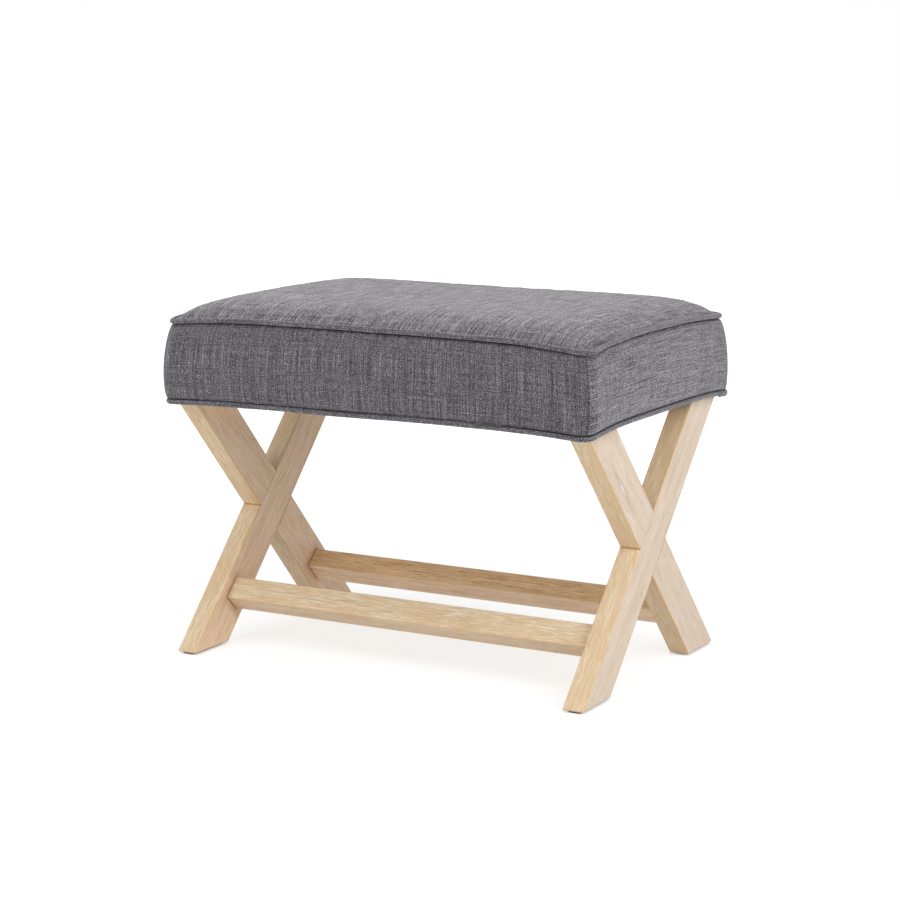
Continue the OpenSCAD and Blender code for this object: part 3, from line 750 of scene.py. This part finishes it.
def cloth_strip(name, low, high, along_x, seed):
    """Turned-in edge of the cover, pulled up at its staples, with a raw inner edge."""
    length, depth = (high.x - low.x, high.y - low.y) if along_x else (high.y - low.y, high.x - low.x)
    middle = (low + high) / 2
    inward = -1 if (middle.y if along_x else middle.x) > 0 else 1
    steps = np.linspace(-length / 2, length / 2, int(length / (4 * MM)) + 1)
    a, b = np.meshgrid(steps, np.linspace(0, 1, 9), indexing="ij")
    reach = inward * (b * (depth + ruffle(a, seed, 0.6 * MM, 0.11)) - depth / 2)
    between = (1 - np.cos(2 * np.pi * a / STAPLE_STEP)) / 2
    slack = 0.35 * MM * between * np.sin(np.pi * np.minimum(1, b * 1.2)) ** 0.5
    z = high.z - 0.05 * MM - slack - 0.2 * MM * b
    x, y = (a, reach) if along_x else (reach, a)
    strip = grid_object(name, np.stack([middle.x + x, middle.y + y, z], -1))
    store(strip, "weave", "POINT", np.stack([a, b * depth, 0 * a + 0.01 * seed], -1))
    thicken(strip, FABRIC_T - 0.4 * MM)
    return strip


def grid_object(name, grid):
    """Surface through a grid of points."""
    index = np.arange(grid[..., 0].size).reshape(grid.shape[:2])
    return mesh_object(name, grid.reshape(-1, 3), grid_quads(index))


def staples(name, places):
    """Wire staples whose crowns lie at these places, each with the angle of its crown."""
    wire, half, leg, bend, sides = 0.55 * MM, 5 * MM, 5 * MM, 0.9 * MM, 6
    line = np.array([(-half, leg), (-half, bend), (-half + 0.3 * bend, 0.3 * bend), (-half + bend, 0),
                     (half - bend, 0), (half - 0.3 * bend, 0.3 * bend), (half, bend), (half, leg)])
    run = np.concatenate([line[1:], line[-1:]]) - np.concatenate([line[:1], line[:-1]])
    run /= np.linalg.norm(run, axis=1, keepdims=True)
    turns = 2 * np.pi * np.arange(sides) / sides
    flat = 0.6 * wire * np.sin(turns)
    along = line[:, :1] + run[:, 1:] * flat
    z = line[:, 1:] - run[:, :1] * flat
    out = wire * np.cos(turns) + 0 * along
    points = []
    for spot, angle in places:
        dx, dy = math.cos(angle), math.sin(angle)
        bent = np.stack([dx * along - dy * out, dy * along + dx * out, z], -1)
        points.append(bent.reshape(-1, 3) + spot)
    count = line.size // 2 * sides
    ends = [np.arange(sides), np.arange(count - 1, count - 1 - sides, -1)]
    rows = [ring_quads(first, first + sides, sides) for first in range(0, count - sides, sides)]
    faces = [face + k * count for k in range(len(places)) for face in (*np.concatenate(rows), *ends)]
    return mesh_object(name, np.concatenate(points), faces)


def flange_staples(low, high, along_x, random):
    """Places and angles of the staples along a turned-in edge."""
    line, across = (0, 1) if along_x else (1, 0)
    last = int((high[line] - low[line]) / STAPLE_STEP / 2)
    places = []
    for k in range(last, -last - 1, -1):
        spot = Vector((0, 0, high.z - FABRIC_T - 0.1 * MM))
        spot[line] = (low[line] + high[line]) / 2 + k * STAPLE_STEP
        spot[across] = low[across] + STAPLE_INSET if low[across] > 0 else high[across] - STAPLE_INSET
        places.append((spot, random.normal(0, 0.12) + (0 if along_x else math.pi / 2)))
    return places


def dust_staples(low, high, random):
    """Places and angles of the staples round the dust cover."""
    places = []
    for k in range(-6, 7):
        for end in (-1, 1):
            spot = (k * high.x / 6.5, end * (high.y - 5 * MM), low.z - 0.3 * MM)
            places.append((spot, random.normal(0, 0.15)))
    for k in range(-3, 4):
        for side in (-1, 1):
            spot = (side * (high.x - STAPLE_INSET), k * high.y / 4, high.z + 0.1 * MM)
            places.append((spot, random.normal(0, 0.15) + math.pi / 2))
    return places


def make_underside():
    """Flanges, dust cover, and the staples of both."""
    pieces = []
    places = []
    random = np.random.default_rng(8)
    flange_linen = linen("linen_flanges", 0.9)
    for seed, side in enumerate(("front", "back", "left", "right")):
        low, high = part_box(f"flange_{side}")
        along_x = side in ("front", "back")
        strip = cloth_strip(f"turned_edge_{side}", low, high, along_x, seed + 1)
        strip.data.materials.append(flange_linen)
        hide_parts(f"flange_{side}")
        pieces.append(strip)
        places += flange_staples(low, high, along_x, random)
    low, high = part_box("dust_cover")
    pieces.append(dust_sheet(low, high))
    wires = staples("staples", places + dust_staples(low, high, random))
    wires.data.materials.append(steel("staple_wire"))
    return [*pieces, wires]


def dust_sheet(low, high):
    """Thin black cloth over the seat's underside, its edges folded in and pulled up at the staples."""
    fold = 14 * MM
    x, y = high.x, high.y
    reach_x, folded_x = folded(np.linspace(-1, 1, 81), x, fold)
    reach_y, folded_y = folded(np.linspace(-1, 1, 65), y, fold)
    u, v = np.meshgrid(reach_x, reach_y, indexing="ij")
    span = (1 - (u / x) ** 2) * (1 - (v / y) ** 2)
    pulled_x = 0.5 * MM * np.cos(2 * np.pi * v / (y / 4)) * np.abs(u / x) ** 6
    pulled_y = 0.4 * MM * np.cos(2 * np.pi * u / (x / 6.5)) * np.abs(v / y) ** 6
    rise = np.clip((np.abs(u) / x - 0.93) / 0.07, 0, 1) * np.clip((0.93 - np.abs(v) / y) / 0.07, 0, 1)
    layer = np.maximum(folded_x[:, None], folded_y[None])
    z = low.z + 0.3 * MM - 2.2 * MM * span ** 0.8 + np.minimum(0, pulled_x + pulled_y)
    z += 1.0 * MM * rise + 0.35 * MM * layer
    sheet = grid_object("dust_sheet", np.stack([u, v, z], -1))
    sheet.data.materials.append(dust_cloth())
    thicken(sheet, 0.25 * MM)
    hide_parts("dust_cover")
    return sheet


def folded(share, half, fold):
    """Where a cloth's points lie that is folded over at its two edges, and 1 for the part folded under."""
    length = share * (half + fold)
    over = np.abs(length) > half
    return np.where(over, np.sign(length) * (2 * half - np.abs(length)), length), over.astype(float)


# Piping
def piping(name, path, radius, painted_shade_angle):
    """Closed tube along a ring of points, with painted shade on its side that faces the band's seam, at an
    angle from outwards.
    """
    around = 20
    ahead = np.roll(path, -1, 0) - np.roll(path, 1, 0)
    ahead /= np.linalg.norm(ahead, axis=1, keepdims=True)
    side = np.cross(ahead, (0, 0, 1))
    side /= np.linalg.norm(side, axis=1, keepdims=True)
    up = np.cross(side, ahead)
    angles = 2 * np.pi * np.arange(around) / around
    points = np.concatenate([path + radius[:, None] * (np.cos(a) * side + np.sin(a) * up) for a in angles])
    count = len(path)
    faces = np.concatenate([ring_quads(k * count, (k + 1) % around * count, count) for k in range(around)])
    tube = mesh_object(name, points, faces)
    number = np.arange(len(faces))[:, None]
    along = running(np.concatenate([path, path[:1]]))[(number % count + (0, 1, 1, 0)).ravel()]
    across = (number // count + (0, 0, 1, 1)).ravel() * 2 * math.pi / around * PIPING_R
    store(tube, "weave", "CORNER", np.stack([along, across, 0 * along + 0.7], 1))
    # Painted shade on the side of the tube that faces the band's seam, which the material reads as its seam.
    store(tube, "seam", "POINT", np.repeat(np.maximum(0, np.cos(angles - painted_shade_angle)) ** 12, count))
    return tube


def fine_ring(out, corner):
    """The cover's outline in steps of about 3 mm, for the piping."""
    return outline(SEAM_X + out, SEAM_Y + out, corner + out, 200, 140)


def waves(count, seed, amount, longest):
    """Smooth random waves round a ring, the same each time."""
    random = np.random.default_rng(seed)
    turn = 2 * np.pi * np.arange(count) / count
    total = np.zeros(count)
    for k in range(2, longest):
        total += random.normal() * np.sin(k * turn + random.uniform(0, 2 * np.pi)) / math.sqrt(k)
    return amount * total / np.abs(total).max()


def knots(plan):
    """How much thicker the hem's piping is at its two ends, which meet at the back right corner."""
    corner = plan[np.argmax(plan @ BACK_CORNER)]
    total = np.zeros(len(plan))
    for before in (0, KNOT_STEP):
        away = np.linalg.norm(plan - corner + (0, before), axis=1)
        total += KNOT_H * np.exp(-(away / KNOT_W) ** 2)
    return total


def make_piping():
    plan = fine_ring(0, SEAM_R)
    count = len(plan)
    z = SEAM_Z + PIPING_R - dip(plan[:, 0], plan[:, 1]) + waves(count, 1, 0.35 * MM, 40)
    top = piping("piping_seat_seam", lifted(plan, z), PIPING_R + waves(count, 2, 0.15 * MM, 60),
                 math.radians(-100))
    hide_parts("piping_top")
    plan = fine_ring(HEM_PIPING_OUT, HEM_R)
    plan += corner_push(plan, 0)
    z = HEM_PIPING_Z + 0.7 * MM + hem_lift(plan) + waves(count, 3, 0.25 * MM, 30)
    radius = PIPING_R + waves(count, 4, 0.2 * MM, 60) + knots(plan)
    bottom = piping("piping_hem_seam", lifted(plan, z), radius, math.radians(85))
    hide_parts("piping_bottom")
    return [top, bottom]


# Materials
def linen(name, contrast, weft=0.55, streaks=1.0, bands=0.0):
    """Plain weave of slubby grey yarns; the weave attribute says where a point lies in it.

    The weft is how strongly its yarns show beside the warp's, and the streaks how strongly the long ones
    show beside the short. The bands are broad changes of tone from one group of weft yarns to the next.
    """
    n = Nodes(name)
    weave = n.attribute("weave", "Vector")
    tone = None
    for across, along, amount in YARNS:
        for size, share in (((across, along), 1.0), ((along, across), weft)):
            layer = n.swing(n.stretched(weave, (*size, 0.05)), 1.0, 0.0)
            strength = streaks if along > 20 * MM else 1.0
            tone = n.scaled(layer, amount * share * strength, tone or 0.0)
    slub = n.clamped(n.noise(n.stretched(weave, (0.9 * MM, 13 * MM, 0.06)), 0.0), 0.70, 0.80)
    slub_weft = n.clamped(n.noise(n.stretched(weave, (11 * MM, 0.9 * MM, 0.06)), 0.0), 0.72, 0.82)
    tone = n.scaled(slub, 0.55, tone)
    tone = n.scaled(slub_weft, 0.4, tone)
    if bands:
        groups = n.swing(n.stretched(weave, (60 * MM, 7 * MM, 0.05)), bands, 1.0)
        crisp = n.swing(n.stretched(weave, (1.5 * MM, 30 * MM, 0.06)), bands, 0.0)
        tone = n.math("ADD", crisp, n.math("ADD", tone, groups))
    parts = n.split(weave)
    across = n.math("SINE", n.times(parts[0], math.pi / YARN_PITCH))
    along = n.math("SINE", n.times(parts[1], math.pi / YARN_PITCH))
    crossing = n.times(across, along)
    tone = n.scaled(crossing, 0.08, tone)
    colour = n.ramp(n.scaled(tone, 0.5 * contrast, 0.5), [
        (0.0, (0.011, 0.011, 0.014)),
        (0.25, (0.029, 0.028, 0.035)),
        (0.50, (0.068, 0.0645, 0.078)),
        (0.75, (0.142, 0.136, 0.158)),
        (1.0, (0.34, 0.33, 0.36)),
    ])
    # Painted shade: near the seams, where the cloth turns in, the colour goes almost to black, and the sheen
    # and shine fall away.
    seam = n.attribute("seam", "Fac")
    colour = n.mix(n.times(seam, 0.95), colour, (0.004, 0.004, 0.005, 1))
    unshaded_cloth = n.minus(1.0, seam)
    fuzz = n.times(unshaded_cloth, n.scaled(tone, 0.5 * contrast, 1.0))
    height = n.math("ADD", n.absolute(crossing), n.times(tone, 0.6))
    n.bump(height, 0.25 * MM, 0.5)
    return n.finish(colour, 0.8, Specular_IOR_Level=n.times(unshaded_cloth, 0.3),
                    Sheen_Weight=n.times(fuzz, 0.48), Sheen_Roughness=0.5, Sheen_Tint=(1.0, 0.97, 1.0, 1.0))


def local_place(n, origin, u, v, w):
    """A point's place in a board: across its thickness, across its width, along its grain."""
    turn = Matrix((u, v, w))
    return n.first("ShaderNodeMapping", {
        "Vector": n.place(), "Rotation": turn.to_euler("XYZ"), "Location": -(turn @ Vector(origin))})


def oak_grain(n, place, parts, seed):
    """Tone of an oak board's grain about zero, and lime in its pores from 0 to 1."""
    random = np.random.default_rng(seed)
    moved = n.vector("ADD", place, [float(x) for x in random.uniform(-1, 1, 3)])
    sway = n.swing(n.stretched(moved, (60 * MM, 60 * MM, 260 * MM)), 4 * MM, 1.0)
    swayed = n.vector("ADD", moved, n.joined(sway, sway))
    pith = (random.choice([-1, 1]) * random.uniform(0.05, 0.09), random.uniform(-0.05, 0.05))
    from_pith = n.length(n.joined(n.minus(parts[0], pith[0]), n.minus(parts[1], pith[1])))
    year = n.math("FRACT", n.math("DIVIDE", n.scaled(sway, 4.0, from_pith), 3.6 * MM))
    late = n.times(n.clamped(year, 0.2, 0.9), n.clamped(year, 1.0, 0.92))
    tone = n.times(late, -0.16)
    for width, length, amount in GRAIN:
        layer = n.swing(n.stretched(swayed, (width, width, length)), 1.0, 1.0)
        tone = n.scaled(layer, amount, tone)
    dashes = n.clamped(n.noise(n.stretched(swayed, (0.9 * MM, 0.9 * MM, 20 * MM)), 1.0), 0.50, 0.60)
    patches = n.clamped(n.noise(n.stretched(moved, (16 * MM, 16 * MM, 60 * MM)), 1.0), 0.30, 0.62)
    return tone, n.times(dashes, n.scaled(patches, 0.75, 0.25))


def leg_joint_finish_and_shade(n, parts, first_faces, inner, other):
    """1 on the lines where a stretcher, and the other leg of the frame, meet a leg. These are partly finish
    gathered there and partly painted shade, with a fainter painted shade reaching 15 mm round the stretcher.
    """
    along = n.absolute(n.math("ADD", parts[2], STRETCHER_DROP))
    across = n.absolute(parts[1])
    beyond = n.math("MAXIMUM", n.minus(along, STRETCHER_H / 2), n.minus(across, STRETCHER_T / 2))
    beyond = n.absolute(beyond)
    # Painted shade, fainter and wider, round the stretcher's end.
    soft_painted_shade = n.times(n.clamped(beyond, 15 * MM, 1 * MM), 0.4)
    ring_line = n.math("MAXIMUM", n.clamped(beyond, 3.2 * MM, 0.2 * MM), soft_painted_shade)
    on_inner = n.clamped(n.times(parts[0], inner), LEG_T / 2 - 1.5 * MM, LEG_T / 2 - 0.3 * MM)
    to_other = n.scaled(parts[1], other[0], n.times(parts[2], other[1]))
    # Painted shade in the V where the legs cross.
    gap = n.absolute(n.minus(n.absolute(to_other), LEG_W / 2))
    notch_shade = n.times(n.clamped(gap, 2.6 * MM, 0.2 * MM), n.minus(1.0, first_faces))
    return n.math("MAXIMUM", n.times(ring_line, on_inner), notch_shade)


def end_joint_finish_and_shade(n, parts, first_faces):
    """1 on the lines where a stretcher's ends meet the legs, partly finish gathered there and partly painted
    shade.
    """
    from_end = n.minus(STRETCHER_HIGH.x, n.absolute(parts[2]))
    return n.clamped(from_end, 1.8 * MM, 0.3 * MM)


def mineral_mark(n, place, parts, colour):
    """Grey and white streak in the grain of a leg's outer face."""
    across = n.math("DIVIDE", n.minus(parts[1], STREAK_PLACE[0]), STREAK_W)
    along = n.math("DIVIDE", n.minus(parts[2], STREAK_PLACE[1]), STREAK_L)
    wander = n.swing(n.stretched(place, (2 * MM, 2 * MM, 6 * MM)), 1.4)
    away = n.math("ADD", n.length(n.joined(across, along)), wander)
    outer = n.clamped(parts[0], LEG_T / 2 - 1.5 * MM, LEG_T / 2 - 0.3 * MM)
    stain = (2.8, 0.9, 0.45, (0.40, 0.34, 0.28, 1))
    mineral = (0.75, 0.35, 0.85, (0.78, 0.79, 0.80, 1))
    for low, high, amount, tint in (stain, mineral):
        colour = n.mix(n.times(n.times(n.clamped(away, low, high), outer), amount), colour, tint)
    return colour


def limed_oak(name, origin, axes, halves, seed, faces, contact, marked=False):
    """Limed oak board along its third axis.

    The faces give, for those across the first axis and for those across the second, the name of their
    colours, the contrast of their grain and their share of lime. The contact is a function that gives the
    dark lines at the joints, partly where the finish has gathered and partly painted shade.
    """
    n = Nodes(name)
    place = local_place(n, origin, *axes)
    parts = n.split(place)
    tone, lime = oak_grain(n, place, parts, seed)
    du = n.minus(halves[0], n.absolute(parts[0]))
    dv = n.minus(halves[1], n.absolute(parts[1]))
    first = n.clamped(n.minus(dv, du), 0.0, 1.5 * MM)
    shades, limes = [], []
    for colours, contrast, share in faces:
        value = n.scaled(tone, 0.5 * contrast, 0.5)
        shades.append(n.ramp(value, [(0.5 * k, colour) for k, colour in enumerate(OAK[colours])]))
        limes.append(n.times(lime, share))
    colour = n.mix(first, shades[1], shades[0])
    strip = n.clamped(n.scaled(tone, 2.5 * MM, du), 5 * MM, 1 * MM)
    strip = n.times(strip, n.scaled(n.clamped(parts[0], -1 * MM, 1 * MM), 0.5, 0.1))
    colour = n.mix(n.times(strip, n.minus(1.0, first)), colour, (0.68, 0.44, 0.20, 1))
    share = n.scaled(first, n.minus(limes[0], limes[1]), limes[1])
    colour = n.mix(share, colour, (0.88, 0.81, 0.70, 1))
    edge_line = n.clamped(n.math("MAXIMUM", du, dv), 2.0 * MM, 0.4 * MM)
    colour = n.mix(n.times(edge_line, 0.4), colour, (0.68, 0.46, 0.25, 1))
    if marked:
        colour = mineral_mark(n, place, parts, colour)
    # Dark joint lines, partly gathered finish and partly painted shade.
    colour = n.mix(n.times(contact(n, parts, first), 0.8), colour, (0.42, 0.20, 0.07, 1))
    n.bump(n.scaled(lime, -0.5, n.times(tone, 0.5)), 0.12 * MM, 0.5)
    return n.finish(colour, 0.58, Specular_IOR_Level=0.35)


def plain_wood(name, w, dark, pale, plies=False):
    """Unseen softwood or plywood inside the seat, with grain along w."""
    n = Nodes(name)
    along = Vector(w)
    u = Vector((0, 0, 1)) if abs(along.z) < 0.5 else Vector((1, 0, 0))
    place = local_place(n, (0, 0, 0), u, along.cross(u), along)
    line = n.noise(n.stretched(place, (2.5 * MM, 2.5 * MM, 180 * MM)), 3.0)
    if plies:
        layer = n.math("SINE", n.times(n.split(place)[0], 2 * math.pi / (3 * MM)))
        line = n.scaled(layer, 0.12, line)
    n.bump(line, 0.2 * MM, 0.4)
    return n.finish(n.ramp(line, [(0.3, dark), (0.7, pale)]), 0.7)


def dust_cloth():
    """Black non-woven cloth with its bonding points."""
    n = Nodes("dust_cloth")
    place = n.place()
    cells = n.add("ShaderNodeTexVoronoi", {"feature": "F1"},
                  {"Vector": place, "Scale": 1 / (1.6 * MM), "Randomness": 0.15})
    points = n.clamped(cells.outputs["Distance"], 0.34, 0.22)
    fibre = n.noise(n.stretched(place, [0.8 * MM] * 3), 3.0)
    n.bump(n.minus(n.times(fibre, 0.5), points), 0.15 * MM, 0.6)
    stops = [(0.1, (0.010, 0.010, 0.011)), (0.7, (0.034, 0.034, 0.036))]
    colour = n.ramp(n.scaled(points, -0.3, fibre), stops)
    return n.finish(colour, 0.85, Sheen_Weight=0.2)


def steel(name):
    n = Nodes(name)
    mottle = n.noise(n.stretched(n.place(), [3 * MM] * 3), 3.0)
    n.bump(mottle, 0.05 * MM, 0.3)
    colour = n.ramp(mottle, [(0.35, (0.50, 0.50, 0.52)), (0.65, (0.66, 0.66, 0.68))])
    return n.finish(colour, n.scaled(mottle, 0.25, 0.22), Metallic=1.0)


def plastic():
    n = Nodes("glide_plastic")
    grain = n.noise(n.stretched(n.place(), [0.6 * MM] * 3), 2.0)
    n.bump(grain, 0.05 * MM, 0.4)
    colour = n.ramp(grain, [(0.3, (0.045, 0.038, 0.034)), (0.7, (0.075, 0.066, 0.058))])
    return n.finish(colour, 0.55)


def soft_fill(name, dark, pale, size):
    """Foam or wadding inside the cover."""
    n = Nodes(name)
    cells = n.noise(n.stretched(n.place(), [size] * 3), 4.0, 0.7)
    n.bump(cells, 0.4 * MM, 0.6)
    return n.finish(n.ramp(cells, [(0.3, dark), (0.7, pale)]), 0.95, Specular_IOR_Level=0.2)


def dress(node, material):
    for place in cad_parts[node].material_slots:
        place.material = material


def dress_legs():
    """Limed oak on the four legs, each with its own grain."""
    across = Vector((1, 0, 0))
    seed = 10
    for side, side_name in ((-1, "left"), (1, "right")):
        for lean, lean_name in ((-1, "a"), (1, "b")):
            seed += 1
            along = Vector((0, lean * math.cos(SLANT), math.sin(SLANT)))
            over = along.cross(across)
            other = Vector((0, -along.y, along.z)).cross(across)
            contact = partial(leg_joint_finish_and_shade, inner=-side, other=(other.dot(over), other.dot(along)))
            name = f"leg_{side_name}_{lean_name}"
            dress(name, limed_oak(f"oak_{name}", (side * LEG_X, 0, CROSS_Z), (across, over, along),
                                  (LEG_T / 2, LEG_W / 2), seed, LEG_FACES[side_name], contact,
                                  marked=name == "leg_right_a"))


def dress_stretchers():
    """Limed oak on the stretchers, whose faces slant as the legs do."""
    across = Vector((1, 0, 0))
    down = Vector((0, -math.cos(SLANT), -math.sin(SLANT)))
    dress("stretcher_front", limed_oak(
        "oak_stretcher_front", STRETCHER_MIDDLE, (down, across.cross(down), across),
        (STRETCHER_H / 2, STRETCHER_T / 2), 17, (("pink", 0.7, 0.2), ("honey", 0.7, 0.6)), end_joint_finish_and_shade))
    # The back stretcher lies in the seat's shade, and its colours are painted warm bounce light besides its
    # little lime.
    low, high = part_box("stretcher_back")
    face = Vector((0, -math.sin(SLANT), -math.cos(SLANT)))
    dress("stretcher_back", limed_oak(
        "oak_stretcher_back", (low + high) / 2, (face, across.cross(face), across),
        (STRETCHER_T / 2, STRETCHER_H / 2), 18, (("brown_painted_bounce", 1.0, 0.3), ("raw", 1.2, 0.15)), end_joint_finish_and_shade))


def dress_rest():
    """Softwood, plywood, steel and plastic on the other nodes that stay."""
    pine = ((0.60, 0.42, 0.22), (0.78, 0.62, 0.38))
    pine_x = plain_wood("pine_along_width", (1, 0, 0), *pine)
    pine_y = plain_wood("pine_along_depth", (0, 1, 0), *pine)
    plywood = plain_wood("plywood", (1, 0, 0), (0.50, 0.36, 0.20), (0.72, 0.56, 0.36), plies=True)
    metal = steel("zinc_steel")
    feet = plastic()
    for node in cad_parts:
        if node.startswith("glide_") and node != "glide_nails":
            dress(node, feet)
        elif node in ("seat_rail_front", "seat_rail_back", "corner_blocks", "stretcher_dowels"):
            dress(node, pine_x)
        elif node.startswith(("seat_rail", "cleat_left", "cleat_right", "bearer_left", "bearer_right")):
            dress(node, pine_y)
        elif node == "deck_panel":
            dress(node, plywood)
        elif node.endswith(("screws", "bolts", "washers", "nuts", "nails")):
            dress(node, metal)


def make_cushion():
    cover, band_rows, seams = make_cover()
    settle_cover(cover, seams, 2.5 * MM)
    lay_weave(cover, band_rows)
    paint_seam_shade(cover, band_rows)
    smooth = cover.modifiers.new("smooth", "SUBSURF")
    smooth.levels = smooth.render_levels = 1
    thicken(cover, FABRIC_T - 0.2 * MM)
    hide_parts("cover_top", "cover_band_front", "cover_band_right", "cover_band_back",
                "cover_band_left")
    cover.data.materials.append(linen("linen_top", 1.2, 0.3, bands=0.5))
    cover.data.materials.append(linen("linen_front", 0.74))
    cover.data.materials.append(linen("linen_ends", 1.45, 0.5, 0.8))
    return cover


bpy.context.scene.view_settings.view_transform = "Standard"
make_camera()
make_floor()
make_world()
make_lights()
dress_legs()
dress_stretchers()
dress_rest()
cushion = make_cushion()
pipings = make_piping()
piping_linen = linen("linen_piping", 0.9)
for tube in pipings:
    tube.data.materials.append(piping_linen)
for piece in (cushion, *pipings, make_foam(), *make_wadding(), *make_underside()):
    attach(piece, "root")
